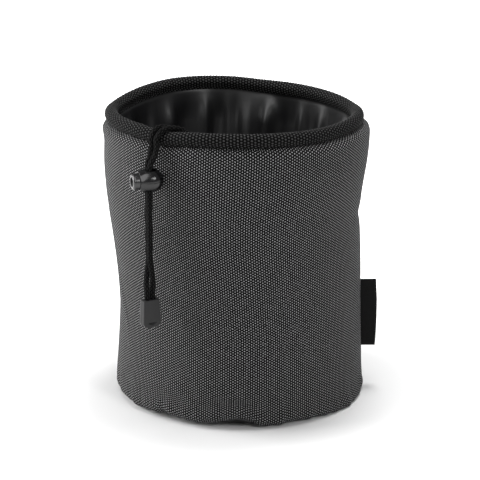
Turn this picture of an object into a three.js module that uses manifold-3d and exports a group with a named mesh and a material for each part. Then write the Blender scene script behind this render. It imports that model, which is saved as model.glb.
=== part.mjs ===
// A standing peg bag: a woven side panel sewn to a flat base, a corded and bound rim, a drawstring
// collar tucked inside, and a drawcord that hangs over the rim with a sprung cord lock and a cord end.
// Millimetres, +Z up, front towards -Y, origin on the floor at the middle of the base.
import * as THREE from 'three';
import { mergeVertices } from 'three/addons/utils/BufferGeometryUtils.js';
import Module from 'manifold-3d';

const wasm = await Module();
wasm.setup();

// Clearance between pieces that touch, and how finely the round pieces are stepped.
const FIT = 0.3;
const BAG_STEPS = 36;
const PLASTIC_STEPS = 24;
const CORD_SIDES = 8;
const STRAND_STEPS = 26;
const LOOP_STEPS = 48;
const WIRE_SIDES = 5;
const COIL_STEPS = 8;
const FLANK_STEPS = 4;

// Side panel. Tucks are measured inwards from the top radius, drops downwards from the rim height.
const PANEL_CLOTH = 1.5;
const TOP_RADIUS = 85;
const TOP_DROP = 32;
const RIB_TUCK = 4.2;
const RIB_DROP = 72;
const WAIST_TUCK = 5.6;
const WAIST_HEIGHT = 64;
const HIP_TUCK = 3.5;
const CORNER_RADIUS = 7;
const FLOOR_LIFT = 0.4;

// Base panel, and the bound seam where base and side turn up inside.
const BASE_CLOTH = 1.5;
const BASE_INSET = 4;
const SEAM_TURN = 1.5;
const SEAM_ALLOWANCE = 8;
const TAPE_CLOTH = 1;
const TAPE_LEG = 5;
const TAPE_WIDTH = 16;

// Rim: a mesh binding wrapped over a round cord. The mouth settles higher at front and back.
const RIM_HEIGHT = 187;
const RIM_INSET = 7.5;
const RIM_WIDTH = 7.8;
const RIM_DEPTH = 8.4;
const RIM_CLOTH = 1.2;
const RIM_TUCK_TURN = 1.5;
const RIM_GROOVE = 1.5;
const RIM_SADDLE = 1.9;
const SETTLE_FROM = 90;

// Drawstring collar, with the drawcord's tunnel in its hem.
const COLLAR_CLOTH = 0.8;
const COLLAR_DEPTH = 62;
const COLLAR_LEAN = 8;
const HEM_ROOM = 0.75;
const CORD_GAP_WIDTH = 25;
const CORD_GAP_HEIGHT = 12;
const CORD_GAP_AZIMUTH = -20.5;

// Label tab folded double in the side seam.
const LABEL_HEIGHT = 46;
const LABEL_FOOT = 27;
const LABEL_OUT = 10;
const LABEL_CLOTH = 0.6;
const LABEL_FOLD = 0.4;

// Drawcord: where the pair of strands hangs, and the way its hem loop runs.
const STRAND = 3.5;
const HANG_AZIMUTH = -35;
const HANG_STANDOFF = 0.4;
const SWING_STANDOFF = 1.1;
const LOOP_FROM = -10;
const LOOP_TO = 329;

// Cord lock: a ball with a sprung plunger, and the slot through both for the two strands.
const LOCK_DROP = 22.5;
const LOCK_YAW = 200;
const BALL_RADIUS = 7.5;
const MOUTH_RADIUS = 6;
const MOUTH_REACH = 8;
const BALL_BACK = 0.4;
const BORE_RADIUS = 5.4;
const BORE_FLOOR = 4.7;
const POCKET_RADIUS = 3.4;
const BLIND_WALL = 1.5;
const SLOT_LENGTH = 6.2;
const SLOT_OUTER_EDGE = 3.7;
const PLUNGER_WEB = 1.6;
const PLUNGER_REACH = 12.2;
const PLUNGER_EDGE = 0.9;
const DISH_RADIUS = 3.4;
const DISH_DEPTH = 1.4;
const POST_RADIUS = 1.9;
const POST_LENGTH = 0.9;
const SPRING_WIRE = 0.5;
const SPRING_TURNS = 3;

// Cord end: two moulded halves that close over the strands.
const END_DROP = 99.5;
const END_YAW = 30;
const END_HEIGHT = 17.9;
const END_TOP_WIDTH = 10.9;
const END_FOOT_WIDTH = 12.6;
const END_TOP_DEPTH = 6;
const END_FOOT_DEPTH = 7;
const END_CORNER = 3.2;
const END_EDGE = 0.9;
const CHANNEL_DEPTH = 11;
const PIN_RADIUS = 0.9;
const PIN_LENGTH = 1.8;
const PIN_SPREAD = 3.9;
const PIN_HEIGHT = 3.6;
const THUMB_DISH = 3.8;
const THUMB_DEPTH = 2.2;
const THUMB_FOOT = 1.6;
const THUMB_EDGE = 3.4;

// Routes of the two strands from the hem to the rim: [azimuth in degrees, out from the rim's middle
// circle, up from the rim's middle]. Both carry on down the hanging route.
const FRONT_RISE = [
  [-10, -5.1, -62],
  [-12.2, -5.4, -61.9],
  [-14.7, -6.8, -60.8],
  [-16.7, -8.9, -57.6],
  [-18, -10.6, -53],
  [-18.8, -11.3, -43],
  [-19.3, -11.1, -27],
  [-20.3, -9.9, -12],
  [-22, -8.1, -2.5],
  [-25.5, -6.4, 3.6],
  [-29, -3.4, 6],
  [-31.8, 0.6, 6.5],
  [-33, 4.4, 4.7],
];
const BACK_RISE = [
  [-31, -5.1, -62],
  [-28.8, -5.4, -61.9],
  [-26.3, -6.8, -60.8],
  [-24.3, -8.9, -57.6],
  [-23.3, -10.6, -53],
  [-23, -11.3, -43],
  [-23.6, -11.1, -27],
  [-24.6, -9.9, -12],
  [-26.4, -8.3, -2.5],
  [-29.6, -7.6, 3.2],
  [-33.2, -4.1, 6],
  [-35.6, 0.6, 6.5],
  [-36.2, 4.4, 4.7],
];
// The hanging route, from the point where the strands swing: [down from the rim's middle, share of the
// way in from the hanging line to the rim, direction in degrees from the back strand to the front one].
const HANG = [
  [-0.8, 1, -35],
  [4, 0.77, -38],
  [8.3, 0.43, -47],
  [12, 0.14, -60],
  [15.4, 0.02, -68.5],
  [19, 0, -70],
  [30, 0, -70],
  [45, 0, -70],
  [60, 0, -70],
  [75, 0, -70],
  [80, 0, -47],
  [85, 0, -20],
  [90, 0, 10],
  [95, 0, END_YAW],
  [102, 0, END_YAW],
  [110.2, 0, END_YAW],
];

const degrees = THREE.MathUtils.degToRad;

// Values that follow from the sizes above.
const rimRadius = TOP_RADIUS - RIM_INSET;
const rimFoot = RIM_HEIGHT - RIM_DEPTH / 2;
const coreHeight = RIM_HEIGHT + RIM_DEPTH / 2 - RIM_WIDTH / 2;
const coreRadius = RIM_WIDTH / 2 - RIM_CLOTH - FIT;
const sewnEdge = coreHeight - coreRadius - FIT;
const panelSlot = rimRadius + FIT / 2 + PANEL_CLOTH / 2;
const collarSlot = rimRadius - FIT / 2 - COLLAR_CLOTH / 2;
const shoulderTop = rimFoot - RIM_GROOVE - PANEL_CLOTH / 2;
const shoulderTurn = TOP_RADIUS - PANEL_CLOTH / 2 - panelSlot - RIM_TUCK_TURN;
const hipRadius = TOP_RADIUS - HIP_TUCK;
const cornerFoot = FLOOR_LIFT + PANEL_CLOTH / 2;
const cornerTurn = CORNER_RADIUS - PANEL_CLOTH / 2;
const seamRadius = hipRadius - CORNER_RADIUS - BASE_INSET;
const hemHeight = RIM_HEIGHT - COLLAR_DEPTH;
const skirtRadius = rimRadius - COLLAR_LEAN;
const hemTurn = STRAND / 2 + HEM_ROOM + COLLAR_CLOTH / 2;
const hemRadius = skirtRadius + hemTurn;
const pairHalf = STRAND / 2 + FIT / 2;
const swingRadius = rimRadius + RIM_WIDTH / 2 + SWING_STANDOFF + STRAND / 2;
const slotWidth = 2 * pairHalf + STRAND + 2 * FIT;
const slotRound = STRAND / 2 + FIT;
const slotMiddle = SLOT_OUTER_EDGE - SLOT_LENGTH / 2;
const strandInLock = SLOT_OUTER_EDGE - FIT - STRAND / 2;
const lockRadius = TOP_RADIUS + HANG_STANDOFF + BALL_RADIUS;
const hangRadius = lockRadius + strandInLock * Math.cos(degrees(LOCK_YAW - HANG_AZIMUTH + 90));
const pressTravel = SLOT_LENGTH - STRAND - 2 * FIT;
const plungerRadius = BORE_RADIUS - FIT;
const plungerBack = slotMiddle + pressTravel - SLOT_LENGTH / 2 - PLUNGER_WEB;
const pocketFloor = BLIND_WALL - BALL_BACK - BALL_RADIUS;

function surface(color, roughness, metalness = 0) {
  return new THREE.MeshStandardMaterial({ color, roughness, metalness });
}

// Azimuth is measured from the front, towards +X.
function polar(azimuth, radius, height) {
  const angle = degrees(azimuth);
  return new THREE.Vector3(radius * Math.sin(angle), -radius * Math.cos(angle), height);
}

// How far the settled mouth lifts a point: up at front and back, down at the sides.
function settleLift(x, y, height) {
  const share = THREE.MathUtils.smoothstep(height, SETTLE_FROM, RIM_HEIGHT);
  return (RIM_SADDLE * share * (y * y - x * x)) / (x * x + y * y);
}

function settle(geometry) {
  const place = geometry.attributes.position;
  for (let i = 0; i < place.count; i += 1) {
    const lift = settleLift(place.getX(i), place.getY(i), place.getZ(i));
    place.setZ(i, place.getZ(i) + lift);
  }
  return geometry;
}

// Outlines are drawn in the half plane of radius and height.
function arc(radius, height, turn, from, to, steps) {
  const points = [];
  for (let i = 0; i <= steps; i += 1) {
    const angle = degrees(from + ((to - from) * i) / steps);
    points.push(new THREE.Vector2(radius + turn * Math.cos(angle), height + turn * Math.sin(angle)));
  }
  return points;
}

function spline(points, steps) {
  const curve = new THREE.SplineCurve(points.map(([radius, height]) => new THREE.Vector2(radius, height)));
  return curve.getPoints(steps);
}

// The line moved sideways, to the left of its direction.
function beside(line, distance) {
  return line.map((point, i) => {
    const before = line[Math.max(i - 1, 0)];
    const after = line[Math.min(i + 1, line.length - 1)];
    const along = after.clone().sub(before).normalize();
    return new THREE.Vector2(point.x - along.y * distance, point.y + along.x * distance);
  });
}

// The closed section of a cloth that follows a line.
function clothSection(line, thickness) {
  return [...beside(line, -thickness / 2), ...beside(line, thickness / 2).reverse()];
}

function revolve(section, steps) {
  const turned = THREE.ShapeUtils.area(section) > 0 ? section : [...section].reverse();
  const startsOnAxis = turned[0].x === 0;
  const profile = startsOnAxis ? turned : [...turned, turned[0]];
  return new THREE.LatheGeometry(profile, steps).rotateX(Math.PI / 2);
}

function toSolid(geometry) {
  const bare = geometry.clone();
  bare.deleteAttribute('normal');
  bare.deleteAttribute('uv');
  const merged = mergeVertices(bare, 1e-4);
  const mesh = new wasm.Mesh({
    numProp: 3,
    vertProperties: new Float32Array(merged.attributes.position.array),
    triVerts: new Uint32Array(merged.index.array),
  });
  return new wasm.Manifold(mesh);
}

function toGeometry(solid) {
  const mesh = solid.getMesh();
  const geometry = new THREE.BufferGeometry();
  geometry.setAttribute('position', new THREE.BufferAttribute(new Float32Array(mesh.vertProperties), 3));
  geometry.setIndex(new THREE.BufferAttribute(new Uint32Array(mesh.triVerts), 1));
  return geometry;
}

function box(width, depth, height, x, y, z) {
  return new THREE.BoxGeometry(width, depth, height).translate(x, y, z);
}

function roundedRectangle(width, height, round) {
  const shape = new THREE.Shape();
  const x = width / 2 - round;
  const y = height / 2 - round;
  shape.absarc(x, y, round, 0, Math.PI / 2);
  shape.absarc(-x, y, round, Math.PI / 2, Math.PI);
  shape.absarc(-x, -y, round, Math.PI, 1.5 * Math.PI);
  shape.absarc(x, -y, round, 1.5 * Math.PI, 2 * Math.PI);
  return shape;
}

function tube(curve, diameter, sides, steps) {
  const round = new THREE.EllipseCurve(0, 0, diameter / 2, diameter / 2).getPoints(sides);
  return new THREE.ExtrudeGeometry(new THREE.Shape(round.slice(0, sides)), { steps, extrudePath: curve });
}

const bag = new THREE.Group();

function addPiece(parent, name, geometry, material) {
  const mesh = new THREE.Mesh(geometry, material);
  mesh.name = name;
  parent.add(mesh);
}

// The side panel's line runs from its seam under the base, round the corner, up the wall, over the
// shoulder and into the rim.
const wallLine = spline(
  [
    [hipRadius - PANEL_CLOTH / 2, cornerFoot + cornerTurn],
    [TOP_RADIUS - WAIST_TUCK - PANEL_CLOTH / 2, WAIST_HEIGHT],
    [TOP_RADIUS - RIB_TUCK - PANEL_CLOTH / 2, RIM_HEIGHT - RIB_DROP],
    [TOP_RADIUS - PANEL_CLOTH / 2, RIM_HEIGHT - TOP_DROP],
    [TOP_RADIUS - PANEL_CLOTH / 2, shoulderTop - shoulderTurn],
  ],
  8,
);

function wallRadius(height) {
  const next = wallLine.findIndex((point) => point.y >= height);
  const low = wallLine[next - 1];
  const high = wallLine[next];
  const share = (height - low.y) / (high.y - low.y);
  return low.x + (high.x - low.x) * share + PANEL_CLOTH / 2;
}

const labelTop = LABEL_FOOT + LABEL_HEIGHT;
const labelWalls = [LABEL_FOOT, (LABEL_FOOT + labelTop) / 2, labelTop].map(wallRadius);
const labelRoot = Math.max(...labelWalls) - PANEL_CLOTH;
const labelTip = Math.max(...labelWalls) + LABEL_OUT;
const labelThickness = 2 * LABEL_CLOTH + LABEL_FOLD;

function outerSidePanel() {
  const panelSeam = seamRadius + FIT / 2 + PANEL_CLOTH / 2;
  const line = [
    new THREE.Vector2(panelSeam, SEAM_ALLOWANCE),
    ...arc(panelSeam + SEAM_TURN, cornerFoot + SEAM_TURN, SEAM_TURN, 180, 270, 2),
    ...arc(hipRadius - CORNER_RADIUS, cornerFoot + cornerTurn, cornerTurn, 270, 360, 4),
    ...wallLine.slice(1),
    ...arc(panelSlot + RIM_TUCK_TURN, shoulderTop - shoulderTurn, shoulderTurn, 0, 90, 3).slice(1),
    ...arc(panelSlot + RIM_TUCK_TURN, shoulderTop + RIM_TUCK_TURN, RIM_TUCK_TURN, 270, 180, 2).slice(1),
    new THREE.Vector2(panelSlot, sewnEdge),
  ];
  const wall = toSolid(settle(revolve(clothSection(line, PANEL_CLOTH), BAG_STEPS)));
  const slotReach = labelTip - labelRoot;
  const slot = box(
    slotReach,
    labelThickness + 2 * FIT,
    LABEL_HEIGHT + 2 * FIT,
    labelRoot + slotReach / 2 - PANEL_CLOTH,
    0,
    (LABEL_FOOT + labelTop) / 2,
  );
  return toGeometry(wall.subtract(toSolid(slot)));
}

function basePanel() {
  const turnRadius = seamRadius - FIT / 2 - BASE_CLOTH / 2;
  const line = [
    new THREE.Vector2(0, BASE_CLOTH / 2),
    ...arc(turnRadius - SEAM_TURN, BASE_CLOTH / 2 + SEAM_TURN, SEAM_TURN, 270, 360, 2),
    new THREE.Vector2(turnRadius, SEAM_ALLOWANCE),
  ];
  return revolve(clothSection(line, BASE_CLOTH), BAG_STEPS);
}

function baseSeamBinding() {
  const inner = seamRadius - FIT / 2 - BASE_CLOTH - FIT - TAPE_CLOTH / 2;
  const outer = seamRadius + FIT / 2 + PANEL_CLOTH + FIT + TAPE_CLOTH / 2;
  const top = SEAM_ALLOWANCE + FIT + TAPE_CLOTH / 2;
  const line = [
    new THREE.Vector2(outer, SEAM_ALLOWANCE - TAPE_LEG),
    new THREE.Vector2(outer, top - TAPE_CLOTH),
    new THREE.Vector2(outer - TAPE_CLOTH / 2, top),
    new THREE.Vector2(inner + TAPE_CLOTH / 2, top),
    new THREE.Vector2(inner, top - TAPE_CLOTH),
    new THREE.Vector2(inner, SEAM_ALLOWANCE - TAPE_LEG),
  ];
  return revolve(clothSection(line, TAPE_CLOTH), BAG_STEPS);
}

// A flat tape inside the wall, over the side seam and the label's sewn edge.
function sideSeamTape() {
  const line = beside(wallLine, PANEL_CLOTH / 2 + FIT + TAPE_CLOTH / 2);
  const ring = toSolid(settle(revolve(clothSection(line, TAPE_CLOTH), BAG_STEPS)));
  const strip = box(2 * TOP_RADIUS, TAPE_WIDTH, 2 * RIM_HEIGHT, TOP_RADIUS, 0, RIM_HEIGHT);
  return toGeometry(ring.intersect(toSolid(strip)));
}

function rimBinding() {
  const outerLip = rimRadius + FIT / 2 + PANEL_CLOTH + FIT + RIM_CLOTH / 2;
  const innerLip = rimRadius - FIT / 2 - COLLAR_CLOTH - FIT - RIM_CLOTH / 2;
  const line = [
    new THREE.Vector2(outerLip, rimFoot),
    ...arc(rimRadius, coreHeight, RIM_WIDTH / 2 - RIM_CLOTH / 2, 0, 180, 8),
    new THREE.Vector2(innerLip, rimFoot),
  ];
  return settle(revolve(clothSection(line, RIM_CLOTH), BAG_STEPS));
}

function rimCore() {
  return settle(revolve(arc(rimRadius, coreHeight, coreRadius, 0, 324, 9), BAG_STEPS));
}

function drawstringCollar() {
  const hemEnd = skirtRadius + COLLAR_CLOTH + 2 * FIT;
  const hemSweep = 360 + THREE.MathUtils.radToDeg(Math.acos((hemEnd - hemRadius) / hemTurn));
  const skirt = spline(
    [
      [collarSlot, rimFoot],
      [collarSlot - COLLAR_LEAN / 3, rimFoot - COLLAR_DEPTH / 4],
      [skirtRadius + COLLAR_LEAN / 6, hemHeight + COLLAR_DEPTH / 4],
      [skirtRadius, hemHeight],
    ],
    5,
  );
  const line = [
    new THREE.Vector2(collarSlot, sewnEdge),
    ...skirt,
    ...arc(hemRadius, hemHeight, hemTurn, 180, hemSweep, 8).slice(1),
  ];
  const collar = toSolid(settle(revolve(clothSection(line, COLLAR_CLOTH), BAG_STEPS)));
  const gap = box(CORD_GAP_WIDTH, 2 * hemTurn, CORD_GAP_HEIGHT, 0, hemTurn - hemRadius, 0);
  gap.rotateZ(degrees(CORD_GAP_AZIMUTH));
  gap.translate(0, 0, hemHeight + CORD_GAP_HEIGHT / 2 - hemTurn + HEM_ROOM);
  return toGeometry(collar.subtract(toSolid(gap)));
}

// A tab folded double: its two cut edges are caught in the seam and its fold stands out.
function labelTab() {
  const outline = new THREE.Shape();
  const bend = labelThickness / 2;
  outline.moveTo(labelRoot, -bend);
  outline.absarc(labelTip - bend, 0, bend, -Math.PI / 2, Math.PI / 2);
  outline.lineTo(labelRoot, bend);
  outline.lineTo(labelRoot, LABEL_FOLD / 2);
  outline.absarc(labelTip - bend, 0, LABEL_FOLD / 2, Math.PI / 2, -Math.PI / 2, true);
  outline.lineTo(labelRoot, -LABEL_FOLD / 2);
  const depth = LABEL_HEIGHT;
  const tab = new THREE.ExtrudeGeometry(outline, { depth, bevelEnabled: false, curveSegments: 4 });
  return tab.translate(0, 0, LABEL_FOOT);
}

function addBag() {
  const weave = surface(0x35363a, 0.75);
  const blackCloth = surface(0x15151a, 0.8);
  const mesh = surface(0x1b1b1d, 0.85);
  const nylon = surface(0x101013, 0.4);
  addPiece(bag, 'outer_side_panel', outerSidePanel(), weave);
  addPiece(bag, 'base_panel', basePanel(), blackCloth);
  addPiece(bag, 'base_seam_binding', baseSeamBinding(), blackCloth);
  addPiece(bag, 'side_seam_tape', sideSeamTape(), blackCloth);
  addPiece(bag, 'rim_binding', rimBinding(), mesh);
  addPiece(bag, 'rim_core', rimCore(), surface(0x2a2a2c, 0.7));
  addPiece(bag, 'drawstring_collar', drawstringCollar(), nylon);
  addPiece(bag, 'label_tab', labelTab(), blackCloth);
}

// The whole route of one strand, from the hem to the cord end. Side is 1 for the front strand.
function strandRoute(rise, side) {
  const risen = rise.map(([azimuth, out, up]) => {
    const point = polar(azimuth, rimRadius + out, RIM_HEIGHT + up);
    return point.setZ(point.z + settleLift(point.x, point.y, point.z));
  });
  const hung = HANG.map(([down, share, lay]) => {
    const radius = THREE.MathUtils.lerp(hangRadius, swingRadius, share);
    const point = polar(HANG_AZIMUTH, radius, RIM_HEIGHT - down);
    const aside = new THREE.Vector3(side * pairHalf, 0, 0);
    return point.add(aside.applyAxisAngle(new THREE.Vector3(0, 0, 1), degrees(lay)));
  });
  return new THREE.CatmullRomCurve3([...risen, ...hung], false, 'centripetal');
}

// The same curve without the clearance at its start.
function shortened(curve) {
  const length = curve.getLength();
  const steps = 4 * STRAND_STEPS;
  const points = [];
  for (let i = 0; i <= steps; i += 1) {
    points.push(curve.getPointAt(THREE.MathUtils.lerp(FIT / length, 1, i / steps)));
  }
  return new THREE.CatmullRomCurve3(points);
}

// Splits a strand where it starts to swing, with a clearance there and at the hem.
function addStrand(name, rise, side, material) {
  const route = strandRoute(rise, side);
  const fineness = 6;
  const points = route.getPoints((route.points.length - 1) * fineness);
  const split = rise.length * fineness;
  const riseCurve = new THREE.CatmullRomCurve3(points.slice(0, split + 1));
  const hangCurve = new THREE.CatmullRomCurve3(points.slice(split));
  const risen = shortened(riseCurve);
  const hung = shortened(hangCurve);
  addPiece(bag, `drawcord_rise_${name}`, tube(risen, STRAND, CORD_SIDES, STRAND_STEPS), material);
  addPiece(bag, `drawcord_hang_${name}`, tube(hung, STRAND, CORD_SIDES, STRAND_STEPS), material);
}

function addDrawcord() {
  const braid = surface(0x17171a, 0.7);
  const round = [];
  for (let i = 0; i <= LOOP_STEPS; i += 1) {
    round.push(polar(THREE.MathUtils.lerp(LOOP_FROM, LOOP_TO, i / LOOP_STEPS), hemRadius, hemHeight));
  }
  const loop = tube(new THREE.CatmullRomCurve3(round), STRAND, CORD_SIDES, LOOP_STEPS);
  addPiece(bag, 'drawcord_loop', settle(loop), braid);
  addStrand('front', FRONT_RISE, 1, braid);
  addStrand('back', BACK_RISE, -1, braid);
}

// The lock is drawn along its plunger, on +X with the ball at the origin, and then turned.
function alongPlunger(section) {
  return revolve(section, PLASTIC_STEPS).rotateY(Math.PI / 2);
}

function strandSlot(middle) {
  const outline = roundedRectangle(SLOT_LENGTH, slotWidth, slotRound);
  const depth = 4 * BALL_RADIUS;
  const slot = new THREE.ExtrudeGeometry(outline, { depth, bevelEnabled: false, curveSegments: 4 });
  return toSolid(slot.translate(middle, 0, -depth / 2));
}

function lockBarrel() {
  const shoulder = Math.acos(MOUTH_RADIUS / BALL_RADIUS);
  const flank = [];
  for (let i = 0; i <= FLANK_STEPS; i += 1) {
    const angle = (shoulder * i) / FLANK_STEPS;
    const reach = THREE.MathUtils.lerp(-BALL_BACK, MOUTH_REACH, Math.sin(angle) / Math.sin(shoulder));
    flank.push(new THREE.Vector2(BALL_RADIUS * Math.cos(angle), reach));
  }
  const section = [
    new THREE.Vector2(0, -BALL_BACK - BALL_RADIUS),
    ...arc(0, -BALL_BACK, BALL_RADIUS, -90, 0, 8).slice(1, -1),
    ...flank,
    new THREE.Vector2(BORE_RADIUS, MOUTH_REACH),
    new THREE.Vector2(BORE_RADIUS, -BORE_FLOOR),
    new THREE.Vector2(POCKET_RADIUS, -BORE_FLOOR),
    new THREE.Vector2(POCKET_RADIUS, pocketFloor),
    new THREE.Vector2(0, pocketFloor),
  ];
  return toGeometry(toSolid(alongPlunger(section)).subtract(strandSlot(slotMiddle)));
}

function lockPlunger() {
  const section = [
    new THREE.Vector2(0, plungerBack - POST_LENGTH),
    new THREE.Vector2(POST_RADIUS, plungerBack - POST_LENGTH),
    new THREE.Vector2(POST_RADIUS, plungerBack),
    new THREE.Vector2(plungerRadius, plungerBack),
    ...arc(plungerRadius - PLUNGER_EDGE, PLUNGER_REACH - PLUNGER_EDGE, PLUNGER_EDGE, 0, 90, 3),
    new THREE.Vector2(DISH_RADIUS, PLUNGER_REACH),
    new THREE.Vector2(DISH_RADIUS, PLUNGER_REACH - DISH_DEPTH),
    new THREE.Vector2(0, PLUNGER_REACH - DISH_DEPTH),
  ];
  return toGeometry(toSolid(alongPlunger(section)).subtract(strandSlot(slotMiddle + pressTravel)));
}

// A coil between the floor of the barrel's pocket and the back of the plunger.
function lockSpring() {
  const radius = POCKET_RADIUS - FIT - SPRING_WIRE / 2;
  const from = pocketFloor + FIT + SPRING_WIRE / 2;
  const to = plungerBack - FIT - SPRING_WIRE / 2;
  const steps = SPRING_TURNS * COIL_STEPS;
  const points = [];
  for (let i = 0; i <= steps; i += 1) {
    const angle = (2 * Math.PI * i) / COIL_STEPS;
    const along = THREE.MathUtils.lerp(from, to, i / steps);
    points.push(new THREE.Vector3(along, radius * Math.cos(angle), radius * Math.sin(angle)));
  }
  return tube(new THREE.CatmullRomCurve3(points), SPRING_WIRE, WIRE_SIDES, steps);
}

function addCordLock() {
  const yaw = degrees(LOCK_YAW);
  const strands = polar(HANG_AZIMUTH, hangRadius, RIM_HEIGHT - LOCK_DROP);
  const lock = new THREE.Group();
  const toBall = new THREE.Vector3(Math.cos(yaw), Math.sin(yaw), 0).multiplyScalar(-strandInLock);
  lock.position.copy(strands).add(toBall);
  lock.rotation.z = yaw;
  bag.add(lock);
  addPiece(lock, 'cord_lock_barrel', lockBarrel(), surface(0x141416, 0.25));
  addPiece(lock, 'cord_lock_plunger', lockPlunger(), surface(0x1a1a1c, 0.4));
  addPiece(lock, 'cord_lock_spring', lockSpring(), surface(0xb8bac0, 0.35, 1));
}

// The cord end's outer form, standing on its foot at the origin: a tapered outline with rounded
// edges, thinner towards the top.
function cordEndForm() {
  const foot = END_FOOT_WIDTH / 2 - END_EDGE;
  const top = END_TOP_WIDTH / 2 - END_EDGE;
  const low = END_EDGE;
  const high = END_HEIGHT - END_EDGE;
  const outline = new THREE.Shape();
  outline.moveTo(-foot + END_CORNER, low);
  outline.lineTo(foot - END_CORNER, low);
  outline.quadraticCurveTo(foot, low, foot, low + END_CORNER);
  outline.lineTo(top, high);
  outline.lineTo(-top, high);
  outline.lineTo(-foot, low + END_CORNER);
  outline.quadraticCurveTo(-foot, low, -foot + END_CORNER, low);
  const depth = END_FOOT_DEPTH - 2 * END_EDGE;
  const form = new THREE.ExtrudeGeometry(outline, {
    depth,
    bevelThickness: END_EDGE,
    bevelSize: END_EDGE,
    bevelSegments: 2,
    curveSegments: 4,
  });
  form.translate(0, 0, -depth / 2).rotateX(Math.PI / 2);
  const place = form.attributes.position;
  for (let i = 0; i < place.count; i += 1) {
    const thinning = 1 - ((1 - END_TOP_DEPTH / END_FOOT_DEPTH) * place.getZ(i)) / END_HEIGHT;
    place.setY(i, place.getY(i) * thinning);
  }
  return toSolid(form);
}

function rod(radius, length) {
  return new THREE.CylinderGeometry(radius, radius, length, 12);
}

function strandChannels() {
  const channels = [-1, 1].map((side) => {
    const bore = rod(STRAND / 2 + FIT, 2 * CHANNEL_DEPTH).rotateX(Math.PI / 2);
    return toSolid(bore.translate(side * pairHalf, 0, END_HEIGHT));
  });
  return channels[0].add(channels[1]);
}

// Round pins across the parting plane, from just behind it to their length in front of it.
function closingPins(radius, length) {
  const pins = [-1, 1].map((side) => toSolid(rod(radius, length + FIT).translate(
    side * PIN_SPREAD,
    (FIT - length) / 2,
    PIN_HEIGHT,
  )));
  return pins[0].add(pins[1]);
}

function halfOf(form, side) {
  const depth = END_FOOT_DEPTH;
  const middle = (side * (depth + FIT)) / 2;
  const half = box(2 * END_FOOT_WIDTH, depth, 3 * END_HEIGHT, 0, middle, END_HEIGHT / 2);
  return form.intersect(toSolid(half));
}

// The lower part of a round dish in the front face, under a straight edge for a thumb nail.
function thumbNotch() {
  const radius = (THUMB_DISH ** 2 + THUMB_DEPTH ** 2) / (2 * THUMB_DEPTH);
  const dish = new THREE.SphereGeometry(radius, 2 * PLASTIC_STEPS, PLASTIC_STEPS);
  dish.translate(0, THUMB_DEPTH - radius - END_FOOT_DEPTH / 2, THUMB_FOOT + THUMB_DISH);
  return toSolid(dish).trimByPlane([0, 0, -1], -THUMB_EDGE);
}

function addCordEnd() {
  const form = cordEndForm().subtract(strandChannels());
  const sockets = closingPins(PIN_RADIUS + FIT, PIN_LENGTH + FIT);
  const front = halfOf(form, -1).subtract(thumbNotch()).subtract(sockets);
  const back = halfOf(form, 1).add(closingPins(PIN_RADIUS, PIN_LENGTH));
  const cordEnd = new THREE.Group();
  cordEnd.position.copy(polar(HANG_AZIMUTH, hangRadius, RIM_HEIGHT - END_DROP - END_HEIGHT));
  cordEnd.rotation.z = degrees(END_YAW);
  bag.add(cordEnd);
  const matt = surface(0x2b2c2e, 0.6);
  addPiece(cordEnd, 'cord_end_front', toGeometry(front), matt);
  addPiece(cordEnd, 'cord_end_back', toGeometry(back), matt);
}

addBag();
addDrawcord();
addCordLock();
addCordEnd();

export default bag;
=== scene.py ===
import math

import bmesh
import bpy
import numpy as np
from mathutils import Matrix, Vector


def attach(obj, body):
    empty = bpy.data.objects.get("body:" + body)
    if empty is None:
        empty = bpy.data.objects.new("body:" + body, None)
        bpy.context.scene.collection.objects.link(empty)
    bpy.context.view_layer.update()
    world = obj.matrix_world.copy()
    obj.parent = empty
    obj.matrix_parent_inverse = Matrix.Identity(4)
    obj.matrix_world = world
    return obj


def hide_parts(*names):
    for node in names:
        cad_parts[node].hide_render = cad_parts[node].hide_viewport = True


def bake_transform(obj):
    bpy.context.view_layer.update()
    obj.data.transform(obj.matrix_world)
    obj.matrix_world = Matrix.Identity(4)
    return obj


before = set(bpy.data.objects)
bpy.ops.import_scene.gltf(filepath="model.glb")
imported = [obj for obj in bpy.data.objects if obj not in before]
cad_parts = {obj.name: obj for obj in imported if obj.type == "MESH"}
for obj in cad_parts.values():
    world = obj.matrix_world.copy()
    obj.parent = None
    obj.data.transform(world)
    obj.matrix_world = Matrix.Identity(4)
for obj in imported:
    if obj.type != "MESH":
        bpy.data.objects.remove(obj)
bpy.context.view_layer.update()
print("frame loaded:", len(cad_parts), "nodes")

# Sizes are in millimetres where no note says otherwise. Azimuth is in degrees from the front, towards +X.
mm = 0.001
fit = 0.3  # room between pieces that fit together
tiny = 1e-6  # a length that counts as nothing
weld = 1e-4 * mm  # points this close become one
crossingDip = 0.35  # how far a yarn sinks between the places where it is on top
creaseAngle = 32  # degrees, past which an edge of a hard piece stays sharp


def aimFrom(holder, place, target):
    holder.location = place
    holder.rotation_euler = (Vector(target) - Vector(place)).to_track_quat("-Z", "Y").to_euler()
    bpy.context.scene.collection.objects.link(holder)


# The camera, in metres and in pixels of the square picture.
cameraSpec = dict(
    place=(0.0, -1.3, 0.538),
    target=(0.0, 0.0, 0.095),
    focalPixels=2099,
    axisPixel=(237.0, 247.5),  # where the optical axis meets the picture
    framePixels=480,
    sensorWidth=36.0,
    farthest=60,
)


def setCamera(spec):
    data = bpy.data.cameras.new("camera")
    data.sensor_width = spec["sensorWidth"]
    data.lens = spec["focalPixels"] / spec["framePixels"] * spec["sensorWidth"]
    data.shift_x = (spec["framePixels"] / 2 - spec["axisPixel"][0]) / spec["framePixels"]
    data.shift_y = (spec["axisPixel"][1] - spec["framePixels"] / 2) / spec["framePixels"]
    data.clip_end = spec["farthest"]
    camera = bpy.data.objects.new("camera", data)
    aimFrom(camera, spec["place"], spec["target"])
    bpy.context.scene.camera = camera


setCamera(cameraSpec)
print("camera set")


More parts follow.
